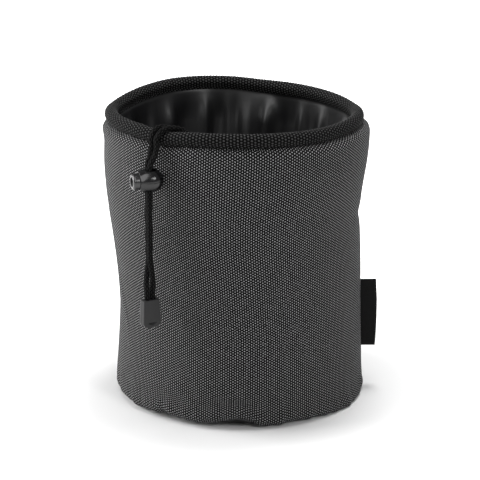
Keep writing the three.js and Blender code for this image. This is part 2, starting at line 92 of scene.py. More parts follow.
def polar(azimuth, radius, height):
    angle = np.radians(azimuth)
    return np.stack(np.broadcast_arrays(radius * np.sin(angle), -radius * np.cos(angle), height), axis=-1)


def azimuthOf(points):
    return np.degrees(np.arctan2(points[:, 0], -points[:, 1]))


def radiusOf(points):
    return np.hypot(points[:, 0], points[:, 1])


def turnBetween(azimuth, other):
    return (azimuth - other + 180) % 360 - 180


def smoothStep(value, low, high):
    share = np.clip((value - low) / (high - low), 0, 1)
    return share * share * (3 - 2 * share)


# Lines are rows of radius and height.
def arcLine(radius, height, turn, start, end, steps):
    angles = np.radians(np.linspace(start, end, steps + 1))
    return np.stack([radius + turn * np.cos(angles), height + turn * np.sin(angles)], axis=1)


def curveLine(knots, stepsEach):
    knots = np.array(knots, float)
    padded = np.vstack([knots[0], knots, knots[-1]])
    share = np.linspace(0, 1, stepsEach, endpoint=False)[:, None]
    rows = []
    for before, start, end, after in zip(padded, padded[1:], padded[2:], padded[3:]):
        leave, reach = (end - before) / 2, (after - start) / 2
        rows.append(
            (2 * start - 2 * end + leave + reach) * share**3
            + (3 * end - 3 * start - 2 * leave - reach) * share**2
            + leave * share
            + start
        )
    return np.vstack(rows + [knots[-1:]])


def joinLines(*lines):
    rows = np.vstack([np.atleast_2d(line) for line in lines])
    apart = np.hypot(*np.diff(rows, axis=0).T) > tiny
    return rows[np.concatenate([[True], apart])]


def refineLine(line, step):
    rows = [line[:1]]
    for start, end in zip(line, line[1:]):
        count = max(1, math.ceil(np.hypot(*(end - start)) / step))
        rows.append(start + (end - start) * (np.arange(1, count + 1) / count)[:, None])
    return np.vstack(rows)


def lineLengths(line):
    return np.concatenate([[0], np.cumsum(np.hypot(*np.diff(line, axis=0).T))])


def newPiece(name, bm):
    mesh = bpy.data.meshes.new(name)
    bm.to_mesh(mesh)
    bm.free()
    piece = bpy.data.objects.new(name, mesh)
    bpy.context.scene.collection.objects.link(piece)
    for polygon in mesh.polygons:
        polygon.use_smooth = True
    return piece


def closeHoles(bm):
    bmesh.ops.holes_fill(bm, edges=[edge for edge in bm.edges if edge.is_boundary], sides=0)


def movePoints(piece, *moves):
    places = np.empty(len(piece.data.vertices) * 3)
    piece.data.vertices.foreach_get("co", places)
    points = places.reshape(-1, 3) / mm
    for move in moves:
        points = move(points)
    piece.data.vertices.foreach_set("co", (points * mm).ravel())
    piece.data.update()


# A flat grid, one metre square, whose UV counts yarns: so many across, and a count for each row.
def yarnGrid(columns, rows, yarnsAcross, yarnsAtRow):
    bm = bmesh.new()
    cloth = bm.loops.layers.uv.new("cloth")
    bmesh.ops.create_grid(bm, x_segments=columns, y_segments=rows, size=0.5, calc_uvs=True)
    for face in bm.faces:
        for loop in face.loops:
            across, up = loop[cloth].uv
            loop[cloth].uv = (across * yarnsAcross, yarnsAtRow[round(up * rows)])
    return bm


# A grid of cloth rolled into a tube that follows a line, with its seam at +X.
def rollSheet(name, line, steps, yarnsRound, pitch):
    rows = len(line) - 1
    bm = yarnGrid(steps, rows, yarnsRound, lineLengths(line) / pitch)
    for vert in bm.verts:
        radius, height = line[round((vert.co.y + 0.5) * rows)]
        vert.co = polar(90 + (vert.co.x + 0.5) * 360, radius, height) * mm
    bmesh.ops.remove_doubles(bm, verts=bm.verts, dist=weld)
    return newPiece(name, bm)


def paint(piece, *finishes):
    for finish in finishes:
        piece.data.materials.append(finish)


# Puts a piece of cloth on the bag in place of a node, moved into shape and with its thickness and finish.
def dressCloth(piece, moves, thickness, node, outside, inside=None):
    movePoints(piece, *moves)
    wall = piece.modifiers.new("thickness", "SOLIDIFY")
    wall.thickness = thickness * mm
    wall.offset = 0
    wall.use_even_offset = False
    wall.material_offset = 1
    wall.material_offset_rim = 1
    paint(piece, materials[outside], materials[inside or outside])
    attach(piece, "bag")
    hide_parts(node)


# Shader helpers. A value is a number or another node's socket.
def feed(tree, value, socket):
    if isinstance(value, bpy.types.NodeSocket):
        tree.links.new(value, socket)
    else:
        socket.default_value = value


def mathNode(tree, operation, first, second=0.0):
    node = tree.nodes.new("ShaderNodeMath")
    node.operation = operation
    feed(tree, first, node.inputs[0])
    feed(tree, second, node.inputs[1])
    return node.outputs[0]


def rangeNode(tree, value, low, high, toLow, toHigh):
    node = tree.nodes.new("ShaderNodeMapRange")
    node.interpolation_type = "SMOOTHSTEP"
    for socket, given in zip(node.inputs, (value, low, high, toLow, toHigh)):
        feed(tree, given, socket)
    return node.outputs[0]


def mixColours(tree, share, first, second):
    node = tree.nodes.new("ShaderNodeMix")
    node.data_type = "RGBA"
    feed(tree, share, node.inputs[0])
    feed(tree, (*first, 1.0), node.inputs[6])
    feed(tree, (*second, 1.0), node.inputs[7])
    return node.outputs[2]


def bumpNode(tree, height, distance, strength):
    node = tree.nodes.new("ShaderNodeBump")
    node.inputs["Strength"].default_value = strength
    node.inputs["Distance"].default_value = distance * mm
    feed(tree, height, node.inputs["Height"])
    return node.outputs[0]


# Yarns over and under each other on a UV that counts them: Over is high in the middle of each yarn that
# passes over along V, Crown is how far the yarns stand up, and Shade varies from crossing to crossing.
def makeYarnGroup():
    group = bpy.data.node_groups.new("crossing yarns", "ShaderNodeTree")
    group.interface.new_socket("UV", in_out="INPUT", socket_type="NodeSocketVector")
    for name in ("Over", "Crown", "Shade"):
        group.interface.new_socket(name, in_out="OUTPUT", socket_type="NodeSocketFloat")
    inside = group.nodes.new("NodeGroupInput")
    outside = group.nodes.new("NodeGroupOutput")
    split = group.nodes.new("ShaderNodeSeparateXYZ")
    group.links.new(inside.outputs["UV"], split.inputs[0])
    waves = []
    for axis in (0, 1):
        turns = mathNode(group, "MULTIPLY", split.outputs[axis], math.pi)
        waves.append(mathNode(group, "COSINE", turns))
    column = mathNode(group, "ABSOLUTE", waves[0])
    along = mathNode(group, "MULTIPLY", mathNode(group, "SIGN", waves[0]), waves[1])
    over = mathNode(group, "ADD", column, mathNode(group, "MULTIPLY", along, crossingDip))
    middle = group.nodes.new("ShaderNodeVectorMath")
    middle.operation = "ADD"
    middle.inputs[1].default_value = (0.5, 0.5, 0.0)
    group.links.new(inside.outputs["UV"], middle.inputs[0])
    crossing = group.nodes.new("ShaderNodeVectorMath")
    crossing.operation = "FLOOR"
    group.links.new(middle.outputs[0], crossing.inputs[0])
    shade = group.nodes.new("ShaderNodeTexWhiteNoise")
    shade.noise_dimensions = "2D"
    group.links.new(crossing.outputs[0], shade.inputs["Vector"])
    crown = mathNode(group, "ABSOLUTE", mathNode(group, "MULTIPLY", waves[0], waves[1]))
    group.links.new(over, outside.inputs["Over"])
    group.links.new(crown, outside.inputs["Crown"])
    group.links.new(shade.outputs["Value"], outside.inputs["Shade"])
    return group


yarnGroup = makeYarnGroup()


def newMaterial(name, roughness, specular, metallic=0.0):
    material = bpy.data.materials.new(name)
    material.use_nodes = True
    shader = material.node_tree.nodes["Principled BSDF"]
    shader.inputs["Roughness"].default_value = roughness
    shader.inputs["Specular IOR Level"].default_value = specular
    shader.inputs["Metallic"].default_value = metallic
    return material, material.node_tree, shader


# Cloth of crossing yarn in two colours, with the sheen of its loose fibres. In the weave the two are real
# yarn colours; in the one-colour cloths the darker colour across is painted shade where the yarns pass
# under, and in the rim mesh's holes.
def yarnMaterial(name, spec):
    material, tree, shader = newMaterial(name, spec["roughness"], spec["specular"])
    shader.inputs["Sheen Weight"].default_value = spec["sheen"]
    shader.inputs["Sheen Roughness"].default_value = 0.5
    uv = tree.nodes.new("ShaderNodeUVMap")
    uv.uv_map = "cloth"
    group = tree.nodes.new("ShaderNodeGroup")
    group.node_tree = yarnGroup
    tree.links.new(uv.outputs[0], group.inputs["UV"])
    yarns = group.outputs
    uneven = mathNode(tree, "MULTIPLY", yarns["Shade"], spec["uneven"])
    level = mathNode(tree, "ADD", yarns["Over"], uneven)
    share = rangeNode(tree, level, spec["edge"][0], spec["edge"][1], 0.0, 1.0)
    # The colour across mixed in here is painted shade for the one-colour cloths, and the dark yarn for the
    # weave.
    tree.links.new(mixColours(tree, share, spec["across"], spec["along"]), shader.inputs["Base Color"])
    bump = bumpNode(tree, yarns["Crown"], spec["relief"], strength=1.0)
    tree.links.new(bump, shader.inputs["Normal"])
    return material


def plainMaterial(name, colour, roughness, specular, grain=0.0, grainSize=1.0, metallic=0.0):
    material, tree, shader = newMaterial(name, roughness, specular, metallic)
    shader.inputs["Base Color"].default_value = (*colour, 1.0)
    if grain:
        place = tree.nodes.new("ShaderNodeTexCoord")
        speckle = tree.nodes.new("ShaderNodeTexNoise")
        speckle.inputs["Scale"].default_value = 1 / (grainSize * mm)
        tree.links.new(place.outputs["Object"], speckle.inputs["Vector"])
        bump = bumpNode(tree, speckle.outputs["Fac"], grain, strength=0.5)
        tree.links.new(bump, shader.inputs["Normal"])
    return material


# Yarns have a colour across and one along, the levels between which one turns into the other, and the height
# of their bump. The weave's colour across is its dark yarn; for the black cloth, the rim mesh and the
# braided cord it is painted shade, where the yarns pass under and in the mesh's holes. Plain finishes have
# colour, roughness and specular.
materials = dict(
    weave=yarnMaterial("two-tone weave", dict(
        across=(0.003, 0.003, 0.0031), along=(0.34, 0.34, 0.345), edge=(0.95, 1.21), uneven=0.03,
        sheen=0.02, relief=0.3, roughness=0.7, specular=0.06)),
    coating=plainMaterial("coated back", (0.012, 0.012, 0.013), 0.5, 0.2, grain=0.05, grainSize=0.6),
    # Black cloth: its colour across is painted shade where the yarns pass under.
    blackCloth=yarnMaterial("black cloth", dict(
        across=(0.005, 0.005, 0.005), along=(0.013, 0.013, 0.013), edge=(0.6, 1.1), uneven=0.2,
        sheen=0.02, relief=0.15, roughness=0.8, specular=0.08)),
    # Rim mesh: its colour across is painted shade in the mesh's holes.
    knit=yarnMaterial("rim mesh", dict(
        across=(0.002, 0.002, 0.002), along=(0.05, 0.05, 0.05), edge=(0.9, 1.3), uneven=0.06,
        sheen=0.01, relief=0.1, roughness=0.75, specular=0.03)),
    nylon=plainMaterial("shiny nylon", (0.006, 0.006, 0.0065), 0.36, 0.4, grain=0.04, grainSize=0.8),
    # Braided cord: its colour across is painted shade where the plaits pass under.
    braid=yarnMaterial("braided cord", dict(
        across=(0.001, 0.001, 0.001), along=(0.016, 0.016, 0.016), edge=(0.75, 1.2), uneven=0.2,
        sheen=0.01, relief=0.2, roughness=0.65, specular=0.03)),
    gloss=plainMaterial("glossy black", (0.003, 0.003, 0.0033), 0.2, 0.4),
    satin=plainMaterial("satin black", (0.006, 0.006, 0.0064), 0.26, 0.55),
    matt=plainMaterial("matt dark grey", (0.021, 0.021, 0.0215), 0.55, 0.2, grain=0.02, grainSize=0.25),
    steel=plainMaterial("spring steel", (0.55, 0.55, 0.57), 0.3, 0.5, metallic=1.0),
    filler=plainMaterial("filler cord", (0.02, 0.02, 0.02), 0.8, 0.1),
)
print("materials made:", len(materials))

# How the standing bag has settled: its mouth rises at the front, is low at the back right and has slid to
# the left, the wall leans, soft folds cross it and its foot is puckered. A pair of heights or radii is where
# an effect begins and where it is full, or where it starts to fade and where it is gone.
settleSpec = dict(
    wallRadii=(45, 74),  # from the base's still middle to the wall
    # azimuth, height, direction in degrees from level, length, width, depth outwards
    folds=[
        (90, 120, -20, 22, 4.5, -1.0),
        (72, 108, -38, 40, 12, -0.8),
        (-70, 68, -66, 26, 3.0, 1.0),
        (-84, 62, 80, 34, 16, -0.7),
        (35, 60, 60, 60, 26, -0.9),
        (-20, 120, 80, 70, 30, -0.6),
        (-80, 178, 0, 40, 6, 1.6),
        (85, 150, 0, 60, 20, -0.9),
        (88, 92, 0, 60, 20, 1.2),
    ],
    # how many times round, depth, azimuth of the first
    puckers=[(31, 0.35, 0), (47, 0.3, 50), (73, 0.2, 10)],
    puckerHeights=(2, 26),
    puckerWander=60,  # degrees
    # how square the rounded foot is pressed, by azimuth
    squares=[
        (-180, 0.1), (-60, 0), (30, 0.1), (38, 0.2), (46, 0.55), (54, 0.9), (62, 0.95), (80, 0.7),
        (110, 0.4), (140, 0.2), (180, 0.1),
    ],
    squareRadius=82.5,
    squareHeights=(3, 10),
    squareRadii=(70.5, 74.5),
    # under the raised hem at the front the base comes forward
    bulge=8.5,
    bulgeWidth=17,
    bulgeHeights=(6, 16),
    bulgeInnerRadii=(45, 60),
    bulgeOuterRadii=(69, 79),
    # how far the hem at the foot is raised, by azimuth
    hemLifts=[
        (-180, 0), (-56, 0), (-48, 0.9), (-41, 1.9), (-38.7, 4.2), (-36, 3.3), (-31, 2.3), (-23, 1.3),
        (-17, 1.5), (-11, 3.2), (-5, 4.8), (-1, 6.1), (3.3, 4.8), (8.3, 2.1), (13, 0.2), (20, 0), (24, 1.1),
        (30, 0.5), (38, 0), (180, 0),
    ],
    hemHeights=(9, 24),
    hemRadii=(62, 71),
    # how far the mouth has risen, by azimuth: it is dented under the cord
    mouthRises=[
        (-180, -0.6), (-165, 0.5), (-152, 1.0), (-144, 0.9), (-130, -0.15), (-115, -1.3), (-102, -1.3),
        (-90, 0.1), (-75, 1.5), (-62, 2.1), (-48, 2.5), (-40, 1.8), (-33.5, 0.9), (-26, 2.1), (-18, 3.0),
        (0, 3.0), (20, 2.4), (38, 1.3), (55, 0.7), (70, 0.0), (82, -0.9), (92, -1.7), (105, -3.3),
        (120, -3.3), (134, -3.0), (150, -2.6), (166, -2.2), (180, -0.6),
    ],
    riseFrom=90,
    leanHeights=(0, 14, 30, 60, 80, 95, 107, 121, 136, 155, 175, 200),
    leanShifts=(1.4, 1.5, 1.8, 1.9, 1.0, 0.2, -0.6, -1.6, -1.6, -0.6, 0.4, 0.4),
    mouthShift=(-2.0, -1.4),
    mouthGrow=1.2,
    mouthHeights=(180.5, 185.5),
)


# Moves points of the ideal round bag to where the settled cloth is.
def settle(points):
    spec = settleSpec
    points = np.array(points, float)
    azimuth, radius, height = azimuthOf(points), radiusOf(points), points[:, 2].copy()
    outward = points[:, :2] / np.maximum(radius, tiny)[:, None]
    wall = smoothStep(radius, *spec["wallRadii"])
    push = np.zeros(len(points))
    for foldAzimuth, foldHeight, direction, length, width, depth in spec["folds"]:
        across = np.radians(turnBetween(azimuth, foldAzimuth)) * panelSpec["topRadius"]
        up = height - foldHeight
        angle = math.radians(direction)
        along = across * math.cos(angle) + up * math.sin(angle)
        aside = up * math.cos(angle) - across * math.sin(angle)
        push += depth * np.exp(-((along / length) ** 2) - (aside / width) ** 2)
    low = 1 - smoothStep(height, *spec["puckerHeights"])
    for count, depth, start in spec["puckers"]:
        wander = spec["puckerWander"] * np.sin(np.radians(3 * azimuth + count))
        push += depth * low * np.cos(np.radians(count * (azimuth - start) + wander))
    low = (1 - smoothStep(height, *spec["squareHeights"])) * smoothStep(radius, *spec["squareRadii"])
    push += low * np.interp(azimuth, *zip(*spec["squares"])) * np.maximum(spec["squareRadius"] - radius, 0)
    bulge = np.exp(-((azimuth / spec["bulgeWidth"]) ** 2)) * smoothStep(radius, *spec["bulgeInnerRadii"])
    bulge *= 1 - smoothStep(radius, *spec["bulgeOuterRadii"])
    push += spec["bulge"] * bulge * (1 - smoothStep(height, *spec["bulgeHeights"]))
    mouth = smoothStep(height, *spec["mouthHeights"])
    push += spec["mouthGrow"] * mouth
    points[:, :2] += outward * (push * wall)[:, None]
    lean = np.interp(height, spec["leanHeights"], spec["leanShifts"])
    points[:, 0] += (lean + spec["mouthShift"][0] * mouth) * wall
    points[:, 1] += spec["mouthShift"][1] * mouth * wall
    high = smoothStep(height, spec["riseFrom"], rimSpec["height"])
    points[:, 2] += high * np.interp(azimuth, *curveLine(spec["mouthRises"], stepsEach=6).T)
    return points


def hemLift(points):
    spec = settleSpec
    low = 1 - smoothStep(points[:, 2], *spec["hemHeights"])
    low *= smoothStep(radiusOf(points), *spec["hemRadii"])
    points[:, 2] += low * np.interp(azimuthOf(points), *zip(*spec["hemLifts"]))
    return points


# The side panel, from its seam under the base to its edge in the rim. Tucks are how far the wall lies in
# from its top. The side seam is a shallow groove at +X.
panelSpec = dict(
    cloth=1.5, topRadius=85, topDrop=32, ribTuck=4.2, ribDrop=72, waistTuck=5.6, waistHeight=64, hipTuck=3.5,
    cornerRadius=7, floorLift=0.4, girthRadius=82, seamWidth=2.2, seamDepth=0.7, seamRadiusFrom=76,
    steps=288, lineStep=2.2, warpYarns=344, weftPitch=0.88,
)
hipRadius = panelSpec["topRadius"] - panelSpec["hipTuck"]
cornerFoot = panelSpec["floorLift"] + panelSpec["cloth"] / 2
cornerTurn = panelSpec["cornerRadius"] - panelSpec["cloth"] / 2


def wallLine(stepsEach):
    spec = panelSpec
    middle = spec["topRadius"] - spec["cloth"] / 2
    return curveLine(
        [
            (hipRadius - spec["cloth"] / 2, cornerFoot + cornerTurn),
            (middle - spec["waistTuck"], spec["waistHeight"]),
            (middle - spec["ribTuck"], rimSpec["height"] - spec["ribDrop"]),
            (middle, rimSpec["height"] - spec["topDrop"]),
            (middle, shoulderTop - shoulderTurn),
        ],
        stepsEach,
    )


def sideSeam(points):
    spec = panelSpec
    across = np.radians(turnBetween(azimuthOf(points), 90)) * spec["topRadius"]
    groove = spec["seamDepth"] * np.exp(-((across / spec["seamWidth"]) ** 2))
    points[:, 0] -= groove * (radiusOf(points) > spec["seamRadiusFrom"])
    return points


def makeSidePanel():
    spec = panelSpec
    seam = seamRadius + fit / 2 + spec["cloth"] / 2
    turn, tuck = baseSpec["seamTurn"], rimSpec["tuckTurn"]
    line = joinLines(
        (seam, baseSpec["seamAllowance"]),
        arcLine(seam + turn, cornerFoot + turn, turn, 180, 270, steps=4),
        arcLine(hipRadius - spec["cornerRadius"], cornerFoot + cornerTurn, cornerTurn, 270, 360, steps=10),
        wallLine(stepsEach=20),
        arcLine(panelSlot + tuck, shoulderTop - shoulderTurn, shoulderTurn, 0, 90, steps=8),
        arcLine(panelSlot + tuck, shoulderTop + tuck, tuck, 270, 180, steps=4),
        (panelSlot, sewnEdge),
    )
    fine = refineLine(line, spec["lineStep"])
    panel = rollSheet("sidePanel", fine, spec["steps"], spec["warpYarns"], spec["weftPitch"])
    moves = [sideSeam, hemLift, settle]
    dressCloth(panel, moves, spec["cloth"], "outer_side_panel", "weave", "coating")


# The base panel, turned up into its seam with the wall.
baseSpec = dict(
    cloth=1.5, inset=4, seamTurn=1.5, seamAllowance=8, steps=144, lineStep=3, yarnRadius=70, pitch=0.7,
)
seamRadius = hipRadius - panelSpec["cornerRadius"] - baseSpec["inset"]


def makeBasePanel():
    spec = baseSpec
    edge = seamRadius - fit / 2 - spec["cloth"] / 2
    turn = spec["seamTurn"]
    line = joinLines(
        (0, spec["cloth"] / 2),
        arcLine(edge - turn, spec["cloth"] / 2 + turn, turn, 270, 360, steps=4),
        (edge, spec["seamAllowance"]),
    )
    yarns = 2 * math.pi * spec["yarnRadius"] / spec["pitch"]
    base = rollSheet("basePanel", refineLine(line, spec["lineStep"]), spec["steps"], yarns, spec["pitch"])
    dressCloth(base, [hemLift, settle], spec["cloth"], "base_panel", "blackCloth")


# The tape folded over the base's seam, and the one that covers the side seam inside.
tapeSpec = dict(cloth=1.0, leg=5, width=16, pitch=0.7, lineStep=1.5, columns=8, yarnLength=160)


def makeBaseSeamBinding():
    cloth, allowance = tapeSpec["cloth"], baseSpec["seamAllowance"]
    inner = seamRadius - fit / 2 - baseSpec["cloth"] - fit - cloth / 2
    outer = seamRadius + fit / 2 + panelSpec["cloth"] + fit + cloth / 2
    top = allowance + fit + cloth / 2
    line = joinLines(
        (outer, allowance - tapeSpec["leg"]),
        arcLine(outer - cloth / 2, top - cloth / 2, cloth / 2, 0, 90, steps=3),
        arcLine(inner + cloth / 2, top - cloth / 2, cloth / 2, 90, 180, steps=3),
        (inner, allowance - tapeSpec["leg"]),
    )
    fine = refineLine(line, tapeSpec["lineStep"])
    yarns = 2 * math.pi * baseSpec["yarnRadius"] / tapeSpec["pitch"]
    binding = rollSheet("baseSeamBinding", fine, baseSpec["steps"], yarns, tapeSpec["pitch"])
    dressCloth(binding, [hemLift, settle], cloth, "base_seam_binding", "blackCloth")


def makeSideSeamTape():
    spec = tapeSpec
    wall = wallLine(stepsEach=12)
    along = np.gradient(wall, axis=0)
    along /= np.hypot(*along.T)[:, None]
    inwards = np.stack([-along[:, 1], along[:, 0]], axis=1)
    line = wall + inwards * (panelSpec["cloth"] / 2 + fit + spec["cloth"] / 2)
    rows = len(line) - 1
    yarnsAtRow = np.linspace(0, spec["yarnLength"] / spec["pitch"], rows + 1)
    bm = yarnGrid(spec["columns"], rows, spec["width"] / spec["pitch"], yarnsAtRow)
    for vert in bm.verts:
        radius, height = line[round((vert.co.y + 0.5) * rows)]
        vert.co = polar(90 + math.degrees(vert.co.x * spec["width"] / radius), radius, height) * mm
    tape = newPiece("sideSeamTape", bm)
    dressCloth(tape, [sideSeam, settle], spec["cloth"], "side_seam_tape", "blackCloth")


# The rim: knitted mesh over a filler cord. Columns are stitches round, and a course is one row of them.
rimSpec = dict(
    height=187, inset=7.5, width=7.8, depth=8.4, cloth=1.2, tuckTurn=1.5, lipLift=0.5, groove=0.8,
    undercut=35, columns=244, course=0.8, stepsPerColumn=3, lineStep=0.5, relief=0.5, stitchEdge=(0.4, 1.15),
    coreSteps=144, coreYarns=300, corePitch=1.0,
)
rimRadius = panelSpec["topRadius"] - rimSpec["inset"]
rimFoot = rimSpec["height"] - rimSpec["depth"] / 2
coreHeight = rimSpec["height"] + rimSpec["depth"] / 2 - rimSpec["width"] / 2
coreRadius = rimSpec["width"] / 2 - rimSpec["cloth"] - fit
lipFoot = rimFoot + rimSpec["lipLift"]
# The side panel's edge is sewn in under the core, and its shoulder lies below the rim's lip.
sewnEdge = coreHeight - coreRadius - fit
panelSlot = rimRadius + fit / 2 + panelSpec["cloth"] / 2
shoulderTop = lipFoot - rimSpec["groove"] - panelSpec["cloth"] / 2
shoulderTurn = panelSpec["topRadius"] - panelSpec["cloth"] / 2 - panelSlot - rimSpec["tuckTurn"]


# The stitches stand up from the cloth, staggered like the yarns of the shader's UV.
def knitRelief(line):
    lengths = lineLengths(line)

    def move(points):
        radius = radiusOf(points)
        flat = np.stack([radius, points[:, 2]], axis=1)
        reach = lengths[[np.argmin(np.hypot(*(line - row).T)) for row in flat]]
        column = np.cos(np.radians(azimuthOf(points) - 90) * rimSpec["columns"] / 2)
        course = np.cos(math.pi * reach / rimSpec["course"])
        stitch = smoothStep(np.abs(column) + crossingDip * course * np.sign(column), *rimSpec["stitchEdge"])
        away = flat - (rimRadius, coreHeight)
        away *= rimSpec["relief"] * ((stitch - 0.5) / np.hypot(*away.T))[:, None]
        points[:, :2] *= (1 + away[:, 0] / radius)[:, None]
        points[:, 2] += away[:, 1]
        return points

    return move


def makeRimBinding():
    spec = rimSpec
    outerLip = rimRadius + fit / 2 + panelSpec["cloth"] + fit + spec["cloth"] / 2
    innerLip = rimRadius - fit / 2 - collarSpec["cloth"] - fit - spec["cloth"] / 2
    roll = spec["width"] / 2 - spec["cloth"] / 2
    line = joinLines(
        (outerLip, lipFoot),
        arcLine(rimRadius, coreHeight, roll, -spec["undercut"], 180, steps=28),
        (innerLip, rimFoot),
    )
    line = refineLine(line, spec["lineStep"])
    steps = spec["columns"] * spec["stepsPerColumn"]
    binding = rollSheet("rimBinding", line, steps, spec["columns"], spec["course"])
    dressCloth(binding, [knitRelief(line), settle], spec["cloth"], "rim_binding", "knit")


def makeRimCore():
    spec = rimSpec
    line = arcLine(rimRadius, coreHeight, coreRadius, 0, 360, steps=16)
    core = rollSheet("rimCore", line, spec["coreSteps"], spec["coreYarns"], spec["corePitch"])
    movePoints(core, settle)
    paint(core, materials["filler"])
    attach(core, "bag")
    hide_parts("rim_core")


# The collar hangs inside from the rim. Its hem is open between two azimuths, where the cord comes out.
collarSpec = dict(
    cloth=0.8, depth=62, lean=8, hemRoom=0.75, steps=288, lineStep=1.8, yarnsRound=600, pitch=1.0,
    gapFrom=-31, gapTo=-10, gapHeight=9.5,
    # how many times round, depth at the hem, azimuth of the first
    gathers=[(7, 1.3, 40), (13, 1.5, 15), (21, 1.2, 140), (34, 0.6, 75), (55, 0.25, 10)],
    gatherFrom=1,  # above the rim's foot
    gatherWander=25,  # degrees
    wanderHeight=14,
    calmShare=0.15,  # what is left of the gathers at the gap
    calmWidths=(14, 34),  # degrees from the gap's middle
)
collarSlot = rimRadius - fit / 2 - collarSpec["cloth"] / 2
skirtRadius = rimRadius - collarSpec["lean"]
hemHeight = rimSpec["height"] - collarSpec["depth"]


# The gathers deepen from the rim to the hem, and die away where the cord comes out.
def gather(points):
    spec = collarSpec
    azimuth = azimuthOf(points)
    drop = smoothStep(rimFoot - points[:, 2], -spec["gatherFrom"], spec["depth"] / 3)
    middle = (spec["gapFrom"] + spec["gapTo"]) / 2
    away = smoothStep(np.abs(turnBetween(azimuth, middle)), *spec["calmWidths"])
    calm = spec["calmShare"] + (1 - spec["calmShare"]) * away
    push = np.zeros(len(points))
    for count, depth, start in spec["gathers"]:
        wander = spec["gatherWander"] * np.sin(points[:, 2] / spec["wanderHeight"] + count)
        push += depth * np.cos(np.radians(count * (azimuth - start) + wander))
    points[:, :2] *= (1 + push * calm * drop / radiusOf(points))[:, None]
    return points


def makeCollar():
    spec = collarSpec
    hemEnd = skirtRadius + spec["cloth"] + 2 * fit
    hemSweep = 360 + math.degrees(math.acos((hemEnd - hemRadius) / hemTurn))
    skirt = [
        (collarSlot, rimFoot),
        (collarSlot - spec["lean"] / 3, rimFoot - spec["depth"] / 4),
        (skirtRadius + spec["lean"] / 6, hemHeight + spec["depth"] / 4),
        (skirtRadius, hemHeight),
    ]
    line = joinLines(
        (collarSlot, sewnEdge),
        curveLine(skirt, stepsEach=14),
        arcLine(hemRadius, hemHeight, hemTurn, 180, hemSweep, steps=18),
    )
    line = refineLine(line, spec["lineStep"])[::-1]
    collar = rollSheet("drawstringCollar", line, spec["steps"], spec["yarnsRound"], spec["pitch"])
    bm = bmesh.new()
    bm.from_mesh(collar.data)
    low, high = hemHeight - hemTurn + spec["hemRoom"], hemHeight + spec["gapHeight"]

    def inGap(face):
        place = np.array([face.calc_center_median()]) / mm
        return (
            spec["gapFrom"] < azimuthOf(place)[0] < spec["gapTo"]
            and low < place[0, 2] < high
            and radiusOf(place)[0] < hemRadius
        )

    bmesh.ops.delete(bm, geom=[face for face in bm.faces if inGap(face)], context="FACES")
    bm.to_mesh(collar.data)
    bm.free()
    dressCloth(collar, [gather, settle], spec["cloth"], "drawstring_collar", "nylon")


# The label, folded double and sewn into the side seam. It is bowed, gapes at its top, and its corners are
# drawn in.
labelSpec = dict(
    height=46, foot=27, out=10, cloth=0.6, fold=0.4, rows=40, lineStep=0.8, pitch=0.4, bow=1.2, gape=1.2,
    cornerDraw=0.6,
)


def makeLabel():
    spec = labelSpec
    bend = (spec["cloth"] + spec["fold"]) / 2
    heights = spec["foot"] + spec["height"] * np.array([0, 0.5, 1])
    wall = wallLine(stepsEach=12)
    root = np.interp(heights, wall[:, 1], wall[:, 0]).max() - panelSpec["cloth"] / 2
    tip = root + panelSpec["cloth"] + spec["out"]
    fold = joinLines(
        (root, -bend),
        arcLine(tip - 2 * bend, 0, bend, -90, 90, steps=8),
        (root, bend),
    )
    fold = refineLine(fold, spec["lineStep"])
    columns = len(fold) - 1
    yarnsAtRow = np.linspace(0, spec["height"] / spec["pitch"], spec["rows"] + 1)
    bm = yarnGrid(columns, spec["rows"], 2 * spec["out"] / spec["pitch"], yarnsAtRow)
    for vert in bm.verts:
        out, side = fold[round((vert.co.x + 0.5) * columns)]
        up = vert.co.y + 0.5
        share = (out - root) / (tip - root)
        out -= spec["cornerDraw"] * share * (2 * up - 1) ** 2
        side *= 1 + spec["gape"] * share * up**6  # near its top only
        side -= spec["bow"] * share**2 * math.sin(math.pi * up)
        vert.co = Vector((out, side, spec["foot"] + spec["height"] * up)) * mm
    tab = newPiece("labelTab", bm)
    dressCloth(tab, [settle], spec["cloth"], "label_tab", "blackCloth")


